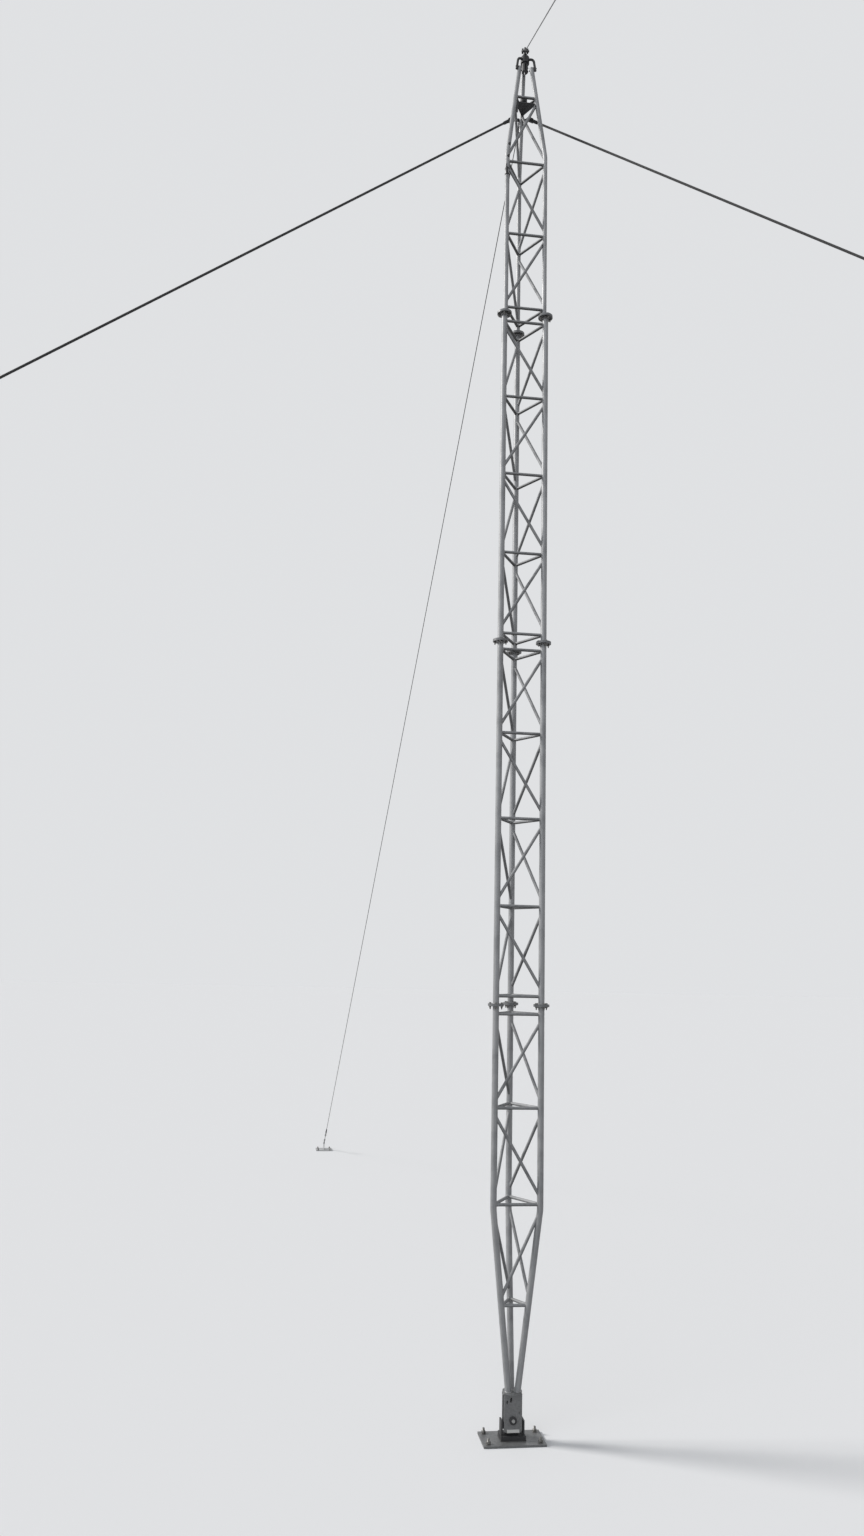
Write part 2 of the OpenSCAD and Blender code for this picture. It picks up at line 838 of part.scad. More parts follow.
anchor(aft_foot, aft_angle, wire_k);  // aft_anchor
anchor(fore_foot, fore_angle, wire_k);  // fore_anchor
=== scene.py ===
"""Looks of a stayed lattice radio mast: its finishes, welds, bolts and small fittings."""

import math

import bmesh
import bpy
from mathutils import Matrix, Vector


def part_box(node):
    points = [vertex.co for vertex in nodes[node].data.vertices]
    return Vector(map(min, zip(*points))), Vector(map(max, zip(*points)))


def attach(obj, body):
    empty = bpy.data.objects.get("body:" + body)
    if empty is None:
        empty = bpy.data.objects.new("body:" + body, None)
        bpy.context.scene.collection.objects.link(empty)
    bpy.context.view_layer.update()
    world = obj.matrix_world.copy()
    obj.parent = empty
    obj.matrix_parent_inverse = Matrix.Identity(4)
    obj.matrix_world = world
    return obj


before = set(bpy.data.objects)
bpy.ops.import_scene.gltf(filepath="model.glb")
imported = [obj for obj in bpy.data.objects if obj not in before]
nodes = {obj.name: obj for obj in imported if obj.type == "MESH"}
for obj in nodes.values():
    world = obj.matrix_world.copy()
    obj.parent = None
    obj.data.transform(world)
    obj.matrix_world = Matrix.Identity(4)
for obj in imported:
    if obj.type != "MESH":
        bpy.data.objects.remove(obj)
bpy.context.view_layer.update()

# Driving sizes of the mast, in metres, and the leans of its legs
LEG_SPACING = 0.370
TOP_LEG_SPACING = 0.350
LEG_R = 0.025
TOP_LEG_R = 0.020
BRACE_R = 0.0125
LOW_BEND_Z = 1.690
HIGH_BEND_Z = 10.840
LOW_LEAN = math.radians(7.3)
HIGH_LEAN = math.radians(8.1)
RING_OFFSET = 0.070
DIAGONAL_GAP = 0.050
FOOT_RING_Z = 0.978
BEND_RING_Z = 1.724
TOP_BAY_H = 0.722
HEAD_RING_Z = 11.465
FLANGE_T = 0.010
BOLT_CIRCLE_R = 0.046

# The legs by number, counted anticlockwise seen from above; the back leg is number 2
LEFT = 0
RIGHT = 1

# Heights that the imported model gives: the three joints, the leg ends, the crown and the base plate
JOINT_Z = [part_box(f"{section}_leg_left")[0].z for section in ("lower", "upper", "top")]
HEAD_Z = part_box("top_leg_left")[1].z
CROWN_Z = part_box("foot_fork")[1].z
BASE_TOP_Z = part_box("base_plate")[1].z

# The floor as the camera and gloss see it and as it lights the mast, and the background's tone
FLOOR_SEEN = (0.771, 0.778, 0.793)
FLOOR_THROWN = (0.08, 0.08, 0.08)
BACKGROUND = (0.745, 0.755, 0.77)

# Foot: the pin, the cheeks, the low bar on them, the crown's underside, the pad and its guides
FOOT_PIN_Z = 0.152
PIN_TIP_R = 0.0125
CHEEK_W = 0.140
CHEEK_FACE_Y = 0.040
CHEEK_INSIDE_Y = 0.026
CHEEK_SEAM_LOW_Z = 0.320
CROSS_BAR_TOP_Z = 0.092
CROWN_UNDERSIDE_Z = 0.338
PAD_TOP_Z = 0.050
PAD_HALF = (0.095, 0.065)
GUIDE_X = (0.078, 0.090)
GUIDE_HALF_DEPTH = 0.039

# Head: the arms beside the legs, the slotted sleeve, the shackle's eye
ARM_R = 0.011
ARM_LOW_Z = HEAD_Z - 0.038
SLEEVE_R = 0.029
SLEEVE_BOLT_ZS = (HEAD_Z - 0.008, HEAD_Z + 0.028)
HEAD_EYE_Z = HEAD_Z + 0.204
SHACKLE_REACH = 0.069

# Stays: the bar behind the back leg, the reach of its ears, the anchors, the screws and the sockets
STAYS = ("port", "starboard", "aft", "fore")
STAY_BAR_Z = 11.400
STAY_BAR_Y_OFF_LEG = 0.034
STAY_EAR_REACH = 0.042
STAY_BAR_X = {"port": -0.040, "starboard": 0.040, "aft": 0.0}
ANCHOR_EYE_Z = 0.120
ANCHOR_TOP_Z = 0.012
STAY_SCALE = {"port": 1.0, "starboard": 1.0, "aft": 0.7, "fore": 0.7}
SCREW_LENGTH = 0.560
SCREW_BODY_FROM = 0.150
SCREW_ROD_R = 0.008
SOCKET_PIN_HALF = 0.0225
SOCKET_LENGTH = 0.120
LOCKNUT_H = 0.012
SPLIT_PIN_WIRE_R = 0.0014
SPLIT_PIN_HALF = 0.013

# Radii of the weld beads
BRACE_BEAD_R = 0.0028
LEG_BEAD_R = 0.004
CROWN_BEAD_R = 0.005
CHEEK_BEAD_R = 0.004
PAD_BEAD_R = 0.006
GUIDE_BEAD_R = 0.004
ARM_BEAD_R = 0.0045

# Bolts: each kind's radius, how far its end stands past the nut, and its place from a plate's edge
FLANGE_BOLT_R = 0.0055
FLANGE_BOLT_TAIL = 0.014
HEAD_BOLT_R = 0.003
HEAD_BOLT_TAIL = 0.003
LEG_BOLT_R = 0.0065
BASE_BOLT_R = 0.010
BASE_BOLT_TAIL = 0.022
BASE_BOLT_EDGE = 0.040
ANCHOR_BOLT_R = 0.008
ANCHOR_BOLT_TAIL = 0.016
ANCHOR_BOLT_EDGE = 0.040

# Bolt proportions, as multiples of the bolt's radius
ACROSS_FLATS = 3.1
NUT_H = 1.6
BOLT_HEAD_H = 1.3
WASHER_T = 0.4

# Bolt heads on the top section's legs: the leg, the height, and the side they face in degrees
LEG_BOLTS = ((RIGHT, 11.373, 190), (LEFT, 10.923, 285), (LEFT, 10.794, 285), (RIGHT, 9.937, 190))

# The cleat on the top section's left leg: its height, the side it faces, its base, posts and bands
CLEAT_Z = 10.643
CLEAT_TURN = math.radians(250)
CLEAT_BASE = (0.070, 0.018, 0.008)
CLEAT_POST_H = 0.026
CLEAT_POST_OFF = 0.014
CLEAT_BAND_OFF = 0.028
CLEAT_BAND_HALF = 0.006
CLEAT_BAND_T = 0.0025

# Colours of masks
BLACK = (0, 0, 0)
WHITE = (1, 1, 1)


def level(angle):
    """The level direction at an angle from the X axis, in radians."""
    return Vector((math.cos(angle), math.sin(angle), 0))


def bearing(k):
    """The angle from the X axis to leg k, in degrees."""
    return 210 + 120 * k


def facing(k):
    """The level direction from the mast's axis to leg k."""
    return level(math.radians(bearing(k)))


def radial(z):
    """Distance of a leg's centre from the mast's axis at a height."""
    if z < LOW_BEND_Z:
        return LEG_SPACING / math.sqrt(3) - (LOW_BEND_Z - z) * math.tan(LOW_LEAN)
    if z > HIGH_BEND_Z:
        return TOP_LEG_SPACING / math.sqrt(3) - (z - HIGH_BEND_Z) * math.tan(HIGH_LEAN)
    return (TOP_LEG_SPACING if z > JOINT_Z[2] else LEG_SPACING) / math.sqrt(3)


def on_leg(k, z):
    """A point on leg k's centre line."""
    return facing(k) * radial(z) + Vector((0, 0, z))


def leg_direction(k, z):
    """The direction of leg k at a height."""
    return (on_leg(k, z + 0.01) - on_leg(k, z - 0.01)).normalized()


def leg_sides(k, z):
    """The level direction across leg k at a height, and the one square out of its outer side."""
    across = Vector((0, 0, 1)).cross(facing(k)).normalized()
    return across, across.cross(leg_direction(k, z)).normalized()


def place(at, axis=(0, 0, 1), turn=0.0):
    """A matrix that puts a part's origin at a point and its Z axis along an axis."""
    along = Vector(axis).normalized()
    tilt = Vector((0, 0, 1)).rotation_difference(along).to_matrix().to_4x4()
    return Matrix.Translation(Vector(at)) @ tilt @ Matrix.Rotation(turn, 4, "Z")


def lay(start, end):
    """A matrix that lays a part's X axis on the line between two points, its Y axis level."""
    line = Vector(end) - Vector(start)
    climb = math.asin(line.z / line.length)
    turn = Matrix.Rotation(math.atan2(line.y, line.x), 4, "Z") @ Matrix.Rotation(-climb, 4, "Y")
    return Matrix.Translation(Vector(start)) @ turn


def anchor_eye(stay):
    """The eye over an anchor that the stay's rigging screw is pinned to."""
    low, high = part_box(f"{stay}_anchor")
    return Vector(((low.x + high.x) / 2, (low.y + high.y) / 2, ANCHOR_EYE_Z))


def stay_start(stay):
    """The upper end of a stay: its pin in the stay bar's ear, or the bow of the head's shackle."""
    foot = anchor_eye(stay)
    if stay == "fore":
        eye = Vector((0, 0, HEAD_EYE_Z))
        return eye + (foot - eye).normalized() * SHACKLE_REACH
    towards_foot = Vector((foot.x, foot.y, 0)).normalized()
    bar_y = radial(STAY_BAR_Z) + STAY_BAR_Y_OFF_LEG
    return Vector((STAY_BAR_X[stay], bar_y, STAY_BAR_Z)) + towards_foot * STAY_EAR_REACH


# Parts and pieces

def add_part(piece, part, where):
    """Cleans a part, moves it to its place and adds it to a piece."""
    bmesh.ops.remove_doubles(part, verts=part.verts, dist=1e-6)
    bmesh.ops.recalc_face_normals(part, faces=part.faces)
    bmesh.ops.transform(part, matrix=where, verts=part.verts)
    carrier = bpy.data.meshes.new("part")
    part.to_mesh(carrier)
    part.free()
    piece.from_mesh(carrier)
    bpy.data.meshes.remove(carrier)


def finish_piece(name, piece, material, sharp_above=40):
    """Turns a piece's bmesh into an object that rides on the mast."""
    mesh = bpy.data.meshes.new(name)
    piece.to_mesh(mesh)
    piece.free()
    mesh.shade_smooth()
    mesh.set_sharp_from_angle(angle=math.radians(sharp_above))
    mesh.materials.append(material)
    obj = bpy.data.objects.new(name, mesh)
    bpy.context.scene.collection.objects.link(obj)
    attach(obj, "root")
    return obj


def add_turned(piece, outline, where, steps=20):
    """Spins an outline of (radius, height) points round its Z axis."""
    part = bmesh.new()
    verts = [part.verts.new((r, 0, z)) for r, z in outline]
    edges = [part.edges.new(pair) for pair in zip(verts, verts[1:])]
    bmesh.ops.spin(part, geom=verts + edges, cent=(0, 0, 0), axis=(0, 0, 1), angle=math.tau,
                   steps=steps, use_merge=True)
    add_part(piece, part, where)


def add_hexagon(piece, across, height, where, both_ends=False):
    """A hexagon head or nut with chamfered corners."""
    part = bmesh.new()
    corner_r = across / math.sqrt(3)
    bmesh.ops.create_cone(part, cap_ends=True, segments=6, radius1=corner_r, radius2=corner_r,
                          depth=height, matrix=Matrix.Translation((0, 0, height / 2)))
    rims = [e for e in part.edges
            if all(v.co.z > height * 0.9 for v in e.verts)
            or both_ends and all(v.co.z < height * 0.1 for v in e.verts)]
    bmesh.ops.bevel(part, geom=rims, offset=across * 0.07, offset_type="OFFSET", segments=1,
                    profile=0.5, affect="EDGES", material=-1)
    add_part(piece, part, where)


def add_washer(piece, bolt_r, where, thickness):
    """A flat washer with its outer edges broken."""
    outer = bolt_r * 2.1
    edge = thickness * 0.3
    add_turned(piece, [(bolt_r, 0), (outer - edge, 0), (outer, edge), (outer, thickness - edge),
                       (outer - edge, thickness), (bolt_r, thickness), (bolt_r, 0)], where)


def add_bolt_end(piece, bolt_r, where, tail):
    """A washer, a nut and the bolt's threaded end beyond it."""
    washer_t = bolt_r * WASHER_T
    nut_h = bolt_r * NUT_H
    add_washer(piece, bolt_r, where, washer_t)
    on_washer = where @ Matrix.Translation((0, 0, washer_t))
    add_hexagon(piece, bolt_r * ACROSS_FLATS, nut_h, on_washer, both_ends=True)
    low = washer_t + nut_h * 0.5
    high = washer_t + nut_h + tail
    crest = bolt_r * 0.98
    root = bolt_r * 0.86
    point_r = bolt_r * 0.7
    pitch = bolt_r * 0.35
    turns = max(1, int((high - low - bolt_r * 0.3) / pitch))
    outline = [(0, low), (crest, low)]
    for i in range(turns):
        outline += [(root, low + (i + 0.5) * pitch), (crest, low + (i + 1) * pitch)]
    outline += [(point_r, high), (0, high)]
    add_turned(piece, outline, where, steps=12)


def add_bolt_head(piece, bolt_r, where):
    """A washer and a hexagon head."""
    washer_t = bolt_r * WASHER_T
    add_washer(piece, bolt_r, where, washer_t)
    on_washer = where @ Matrix.Translation((0, 0, washer_t))
    add_hexagon(piece, bolt_r * ACROSS_FLATS, bolt_r * BOLT_HEAD_H, on_washer)


def round_ring(radius, wire_r, steps):
    """A ring of round wire about the Z axis."""
    part = bmesh.new()
    circle = bmesh.ops.create_circle(part, cap_ends=False, segments=6, radius=wire_r,
                                     matrix=Matrix.Translation((radius, 0, 0))
                                     @ Matrix.Rotation(math.pi / 2, 4, "X"))
    geometry = circle["verts"] + list({e for v in circle["verts"] for e in v.link_edges})
    bmesh.ops.spin(part, geom=geometry, cent=(0, 0, 0), axis=(0, 0, 1), angle=math.tau,
                   steps=steps, use_merge=True)
    return part


def add_bead(piece, bar_point, bar_axis, bar_r, reach, bead_r, steps=24):
    """A weld bead round a bar; reach(point) says how far along the bar's axis its seat lies."""
    part = round_ring(bar_r, bead_r, steps)
    where = place(bar_point, bar_axis)
    for vert in part.verts:
        angle = math.atan2(vert.co.y, vert.co.x)
        seat = where @ Vector((bar_r * math.cos(angle), bar_r * math.sin(angle), 0))
        ripple = 0.85 + 0.15 * math.cos(angle * steps / 2)
        vert.co.x += (ripple - 1) * (vert.co.x - bar_r * math.cos(angle))
        vert.co.y += (ripple - 1) * (vert.co.y - bar_r * math.sin(angle))
        vert.co.z = vert.co.z * ripple + reach(seat)
    add_part(piece, part, where)


def add_fillet(piece, start, end, bead_r):
    """A straight weld bead with a ripple along it."""
    length = (Vector(end) - Vector(start)).length
    ripples = max(4, 2 * round(length / (bead_r * 2.2)))
    outline = [(0, 0), (bead_r * 0.7, bead_r * 0.15)]
    for i in range(1, ripples):
        outline.append((bead_r * (1.0 if i % 2 else 0.8), length * i / ripples))
    outline += [(bead_r * 0.7, length - bead_r * 0.15), (0, length)]
    add_turned(piece, outline, place(start, Vector(end) - Vector(start)), steps=8)


def add_block(piece, size, where, edge):
    """A block with small rounded edges, its base on the XY plane."""
    part = bmesh.new()
    bmesh.ops.create_cube(part, size=1, matrix=Matrix.Translation((0, 0, size[2] / 2))
                          @ Matrix.Diagonal((*size, 1)))
    bmesh.ops.bevel(part, geom=part.edges[:], offset=edge, offset_type="OFFSET", segments=2,
                    profile=0.5, affect="EDGES", material=-1)
    add_part(piece, part, where)


def along_to_bar(origin, direction, centre, axis, radius):
    """How far a line must run from a point to come out of a round bar."""
    across = direction - axis * direction.dot(axis)
    gap = origin - centre
    gap -= axis * gap.dot(axis)
    a = across.dot(across)
    b = 2 * across.dot(gap)
    c = gap.dot(gap) - radius * radius
    return (-b + math.sqrt(max(0.0, b * b - 4 * a * c))) / (2 * a)


# Materials

def shader(name, metallic, roughness):
    """A new material with its main shader, and the node tree to add to."""
    material = bpy.data.materials.new(name)
    material.use_nodes = True
    tree = material.node_tree
    surface = tree.nodes["Principled BSDF"]
    surface.inputs["Metallic"].default_value = metallic
    surface.inputs["Roughness"].default_value = roughness
    return material, tree, surface


def object_place(tree, scale=(1, 1, 1), location=(0, 0, 0), rotation=(0, 0, 0), kind="POINT"):
    """Object coordinates through a mapping node."""
    coordinates = tree.nodes.new("ShaderNodeTexCoord")
    mapping = tree.nodes.new("ShaderNodeMapping")
    mapping.vector_type = kind
    mapping.inputs["Scale"].default_value = scale
    mapping.inputs["Location"].default_value = location
    mapping.inputs["Rotation"].default_value = rotation
    tree.links.new(coordinates.outputs["Object"], mapping.inputs["Vector"])
    return mapping.outputs["Vector"]


def noise(tree, vector, scale, detail=4.0, roughness=0.55):
    """A noise pattern's value."""
    node = tree.nodes.new("ShaderNodeTexNoise")
    node.inputs["Scale"].default_value = scale
    node.inputs["Detail"].default_value = detail
    node.inputs["Roughness"].default_value = roughness
    tree.links.new(vector, node.inputs["Vector"])
    return node.outputs["Fac"]


def ramp(tree, value, stops):
    """Turns a value into a colour through (position, colour) stops."""
    node = tree.nodes.new("ShaderNodeValToRGB")
    elements = node.color_ramp.elements
    while len(elements) < len(stops):
        elements.new(0.5)
    for element, (position, colour) in zip(elements, stops):
        element.position = position
        element.color = (*colour, 1)
    tree.links.new(value, node.inputs["Fac"])
    return node.outputs["Color"]


def math_node(tree, operation, first, second=None):
    """A math node on sockets or numbers."""
    node = tree.nodes.new("ShaderNodeMath")
    node.operation = operation
    for socket, value in zip(node.inputs, (first, second)):
        if isinstance(value, (int, float)):
            socket.default_value = value
        elif value is not None:
            tree.links.new(value, socket)
    return node.outputs["Value"]


def mix_colour(tree, factor, first, second, blend="MIX"):
    """Mixes two colours by a socket or a number."""
    node = tree.nodes.new("ShaderNodeMix")
    node.data_type = "RGBA"
    node.blend_type = blend
    factor_in, first_in, second_in = node.inputs[0], node.inputs[6], node.inputs[7]
    for socket, value in ((factor_in, factor), (first_in, first), (second_in, second)):
        if isinstance(value, (int, float)):
            socket.default_value = value
        elif isinstance(value, tuple):
            socket.default_value = (*value, 1)
        else:
            tree.links.new(value, socket)
    return node.outputs[2]


def range_of(tree, value, low, high):
    """Spreads a value from nought to one over a new range."""
    node = tree.nodes.new("ShaderNodeMapRange")
    node.inputs["To Min"].default_value = low
    node.inputs["To Max"].default_value = high
    tree.links.new(value, node.inputs["Value"])
    return node.outputs["Result"]


def bump(tree, surface, height, distance, strength=1.0):
    """Adds a bump to the shader."""
    node = tree.nodes.new("ShaderNodeBump")
    node.inputs["Strength"].default_value = strength
    node.inputs["Distance"].default_value = distance
    tree.links.new(height, node.inputs["Height"])
    tree.links.new(node.outputs["Normal"], surface.inputs["Normal"])


def height_band(tree, low, high):
    """A mask: one between two heights of the mast, and nought elsewhere."""
    axes = tree.nodes.new("ShaderNodeSeparateXYZ")
    tree.links.new(object_place(tree), axes.inputs["Vector"])
    above = math_node(tree, "GREATER_THAN", axes.outputs["Z"], low)
    below = math_node(tree, "LESS_THAN", axes.outputs["Z"], high)
    return math_node(tree, "MULTIPLY", above, below)


def underside_shade_mask(tree):
    """A mask for painted shade: one on faces that look down, and nought on the rest."""
    coordinates = tree.nodes.new("ShaderNodeTexCoord")
    axes = tree.nodes.new("ShaderNodeSeparateXYZ")
    tree.links.new(coordinates.outputs["Normal"], axes.inputs["Vector"])
    down = math_node(tree, "MULTIPLY", axes.outputs["Z"], -1.0)
    return ramp(tree, down, [(0.15, BLACK), (0.75, WHITE)])


def drawn_aluminium(name, pale, dull, drawn_scale, roughness, painted_flange_shade=False):
    """Weathered drawn tube: dull bloom, faint drawing lines, specks of dirt, painted shade on the
    undersides and, if asked, on the flanges.
    """
    material, tree, surface = shader(name, metallic=0.25, roughness=roughness[1])
    bloom = noise(tree, object_place(tree), scale=5.0, detail=6.0, roughness=0.62)
    lines = noise(tree, object_place(tree, drawn_scale), scale=1.0, detail=2.0)
    specks = noise(tree, object_place(tree), scale=130.0, detail=3.0, roughness=0.7)
    grain = noise(tree, object_place(tree), scale=900.0, detail=2.0)
    palest = tuple(c * 1.08 for c in pale)
    colour = ramp(tree, bloom, [(0.30, dull), (0.52, pale), (0.72, palest)])
    dirt = ramp(tree, specks, [(0.60, WHITE), (0.74, (0.62, 0.61, 0.59))])
    colour = mix_colour(tree, 0.8, colour, dirt, "MULTIPLY")
    streaks = ramp(tree, lines, [(0.35, (0.86, 0.86, 0.86)), (0.65, WHITE)])
    colour = mix_colour(tree, 1.0, colour, streaks, "MULTIPLY")
    if painted_flange_shade:
        # Painted shade: the flanges take 0.7 of the dull tone, standing in for the shade under them.
        half = FLANGE_T + 0.0005
        for joint in JOINT_Z:
            flange = height_band(tree, joint - half, joint + half)
            colour = mix_colour(tree, flange, colour, tuple(c * 0.7 for c in dull))
    # Painted shade: faces that look down are darkened towards a near-black grey, patchy with the
    # specks.
    underside_shade = math_node(tree, "MULTIPLY", underside_shade_mask(tree), range_of(tree, specks, 0.95, 0.70))
    colour = mix_colour(tree, underside_shade, colour, (0.075, 0.074, 0.072))
    tree.links.new(colour, surface.inputs["Base Color"])
    tree.links.new(range_of(tree, bloom, *roughness), surface.inputs["Roughness"])
    height = math_node(tree, "ADD", math_node(tree, "MULTIPLY", lines, 0.6), grain)
    bump(tree, surface, height, distance=0.00015)
    return material


def zinc_coat(name, dull, pale, bloom_tone, pale_place=None):
    """Hot-dipped zinc: spangle, dull bloom and a few stains; pale_place(tree) masks where the zinc
    is painted paler.
    """
    material, tree, surface = shader(name, metallic=0.45, roughness=0.5)
    coordinates = object_place(tree)
    spangle = tree.nodes.new("ShaderNodeTexVoronoi")
    spangle.inputs["Scale"].default_value = 95.0
    spangle.inputs["Randomness"].default_value = 1.0
    tree.links.new(coordinates, spangle.inputs["Vector"])
    grey = tree.nodes.new("ShaderNodeSeparateColor")
    tree.links.new(spangle.outputs["Color"], grey.inputs["Color"])
    bloom = noise(tree, coordinates, scale=14.0, detail=6.0, roughness=0.6)
    stain = noise(tree, coordinates, scale=32.0, detail=5.0, roughness=0.7)
    base = ramp(tree, grey.outputs["Red"], [(0.0, dull), (1.0, pale)])
    base = mix_colour(tree, range_of(tree, bloom, 0.1, 0.75), base, bloom_tone)
    if pale_place:
        base = mix_colour(tree, pale_place(tree), base, (0.60, 0.60, 0.59))
    rust = ramp(tree, stain, [(0.66, BLACK), (0.80, WHITE)])
    base = mix_colour(tree, math_node(tree, "MULTIPLY", rust, 0.45), base, (0.20, 0.135, 0.09))
    tree.links.new(base, surface.inputs["Base Color"])
    tree.links.new(range_of(tree, grey.outputs["Green"], 0.38, 0.58), surface.inputs["Roughness"])
    height = math_node(tree, "ADD", bloom, math_node(tree, "MULTIPLY", stain, 0.4))
    bump(tree, surface, height, distance=0.0006)
    return material


def galvanised(name="galvanised_steel"):
    """Zinc on the anchors and rigging screws."""
    return zinc_coat(name, (0.30, 0.305, 0.32), (0.43, 0.435, 0.44), (0.45, 0.455, 0.45))


def foot_steel():
    """Zinc on the foot and base, painted darker than the anchors' zinc as shade, with the low bars
    on the cheeks painted paler.
    """
    def low_bars(tree):
        """A mask: one on the bars that stand proud of the cheeks' faces."""
        axes = tree.nodes.new("ShaderNodeSeparateXYZ")
        tree.links.new(object_place(tree), axes.inputs["Vector"])
        off_middle = math_node(tree, "ABSOLUTE", axes.outputs["Y"])
        proud = math_node(tree, "GREATER_THAN", off_middle, CHEEK_FACE_Y + 0.0005)
        low = height_band(tree, BASE_TOP_Z + 0.001, CROSS_BAR_TOP_Z)
        return math_node(tree, "MULTIPLY", proud, low)

    # Painted shade: these tones are darker copies of the galvanised zinc's.
    return zinc_coat("foot_steel", (0.135, 0.138, 0.145), (0.20, 0.205, 0.21), (0.19, 0.19, 0.188),
                     low_bars)


def painted_base(tree, coordinates):
    """Colour of dark brushed-on paint over steel, chalky and lightly rusted, and its chips."""
    cloud = noise(tree, coordinates, scale=18.0, detail=6.0, roughness=0.6)
    chips = noise(tree, coordinates, scale=75.0, detail=5.0, roughness=0.75)
    base = ramp(tree, cloud, [(0.30, (0.012, 0.012, 0.014)), (0.70, (0.030, 0.030, 0.032))])
    worn = ramp(tree, chips, [(0.62, BLACK), (0.70, WHITE)])
    colour = mix_colour(tree, math_node(tree, "MULTIPLY", worn, 0.55), base, (0.085, 0.060, 0.045))
    return colour, chips


def dark_steel():
    """Dark paint on the head's steel and the base socket."""
    material, tree, surface = shader("dark_steel", metallic=0.0, roughness=0.5)
    coordinates = object_place(tree)
    base, chips = painted_base(tree, coordinates)
    tree.links.new(base, surface.inputs["Base Color"])
    tree.links.new(range_of(tree, chips, 0.42, 0.70), surface.inputs["Roughness"])
    bump(tree, surface, chips, distance=0.0005, strength=0.6)
    return material


def pin_steel():
    """Round nuts painted dark as the shadow round the foot pin's end, with the bright worn end of
    the pin in their middle.
    """
    material, tree, surface = shader("pin_steel", metallic=0.0, roughness=0.45)
    coordinates = object_place(tree)
    # Painted shadow: the nuts take the near-black paint colour of the shadow ring round the pin's
    # end.
    base, chips = painted_base(tree, coordinates)
    across = tree.nodes.new("ShaderNodeVectorMath")
    across.operation = "LENGTH"
    tree.links.new(object_place(tree, (1, 0, 1), (0, 0, -FOOT_PIN_Z)), across.inputs[0])
    tip = math_node(tree, "LESS_THAN", across.outputs["Value"], PIN_TIP_R)
    base = mix_colour(tree, tip, base, (0.46, 0.46, 0.45))
    tree.links.new(base, surface.inputs["Base Color"])
    bump(tree, surface, chips, distance=0.0004, strength=0.6)
    return material


def along_line(tree, start, end):
    """Coordinates of a stay: distance along it, the angle round it, and its own axes."""
    line = Vector(end) - Vector(start)
    turn = Vector((1, 0, 0)).rotation_difference(line.normalized()).to_euler()
    vector = object_place(tree, location=tuple(start), rotation=tuple(turn), kind="TEXTURE")
    axes = tree.nodes.new("ShaderNodeSeparateXYZ")
    tree.links.new(vector, axes.inputs["Vector"])
    angle = math_node(tree, "ARCTAN2", axes.outputs["Z"], axes.outputs["Y"])
    return axes.outputs["X"], angle, vector


def wave(tree, distance, angle, per_metre, strands):
    """A helical wave, from nought to one."""
    along = math_node(tree, "MULTIPLY", distance, math.tau * per_metre)
    turned = math_node(tree, "ADD", along, math_node(tree, "MULTIPLY", angle, strands))
    half_wave = math_node(tree, "MULTIPLY", math_node(tree, "SINE", turned), 0.5)
    return math_node(tree, "ADD", half_wave, 0.5)


def rope_and_sockets(tree, stay, distance, rope, sockets, height):
    """Colour and bump height of a stay: its rope between the sockets, and plain metal on them."""
    scale = STAY_SCALE[stay]
    length = (anchor_eye(stay) - stay_start(stay)).length - SCREW_LENGTH * scale
    upper = math_node(tree, "LESS_THAN", distance, SOCKET_LENGTH * scale)
    lower = math_node(tree, "GREATER_THAN", distance, length - SOCKET_LENGTH * scale)
    on_sockets = math_node(tree, "MAXIMUM", upper, lower)
    on_rope = math_node(tree, "SUBTRACT", 1.0, on_sockets)
    colour = mix_colour(tree, on_sockets, rope, sockets)
    return colour, math_node(tree, "MULTIPLY", height, on_rope)


def braided(stay):
    """Black braided sheath, its strands crossing both ways round the rope, and dark sockets."""
    material, tree, surface = shader(f"{stay}_stay_braid", metallic=0.0, roughness=0.7)
    distance, angle, vector = along_line(tree, stay_start(stay), anchor_eye(stay))
    one_way = wave(tree, distance, angle, per_metre=60.0, strands=8.0)
    other_way = wave(tree, distance, angle, per_metre=60.0, strands=-8.0)
    strands = math_node(tree, "MAXIMUM", one_way, other_way)
    fuzz = noise(tree, vector, scale=700.0, detail=3.0)
    dust = noise(tree, vector, scale=9.0, detail=4.0)
    rope = ramp(tree, strands, [(0.25, (0.007, 0.007, 0.008)), (0.85, (0.026, 0.026, 0.028))])
    rope = mix_colour(tree, range_of(tree, dust, 0.0, 0.25), rope, (0.050, 0.049, 0.047))
    sockets, _ = painted_base(tree, vector)
    height = math_node(tree, "ADD", strands, math_node(tree, "MULTIPLY", fuzz, 0.3))
    colour, height = rope_and_sockets(tree, stay, distance, rope, sockets, height)
    tree.links.new(colour, surface.inputs["Base Color"])
    surface.inputs["Sheen Weight"].default_value = 0.1
    bump(tree, surface, height, distance=0.0012)
    return material


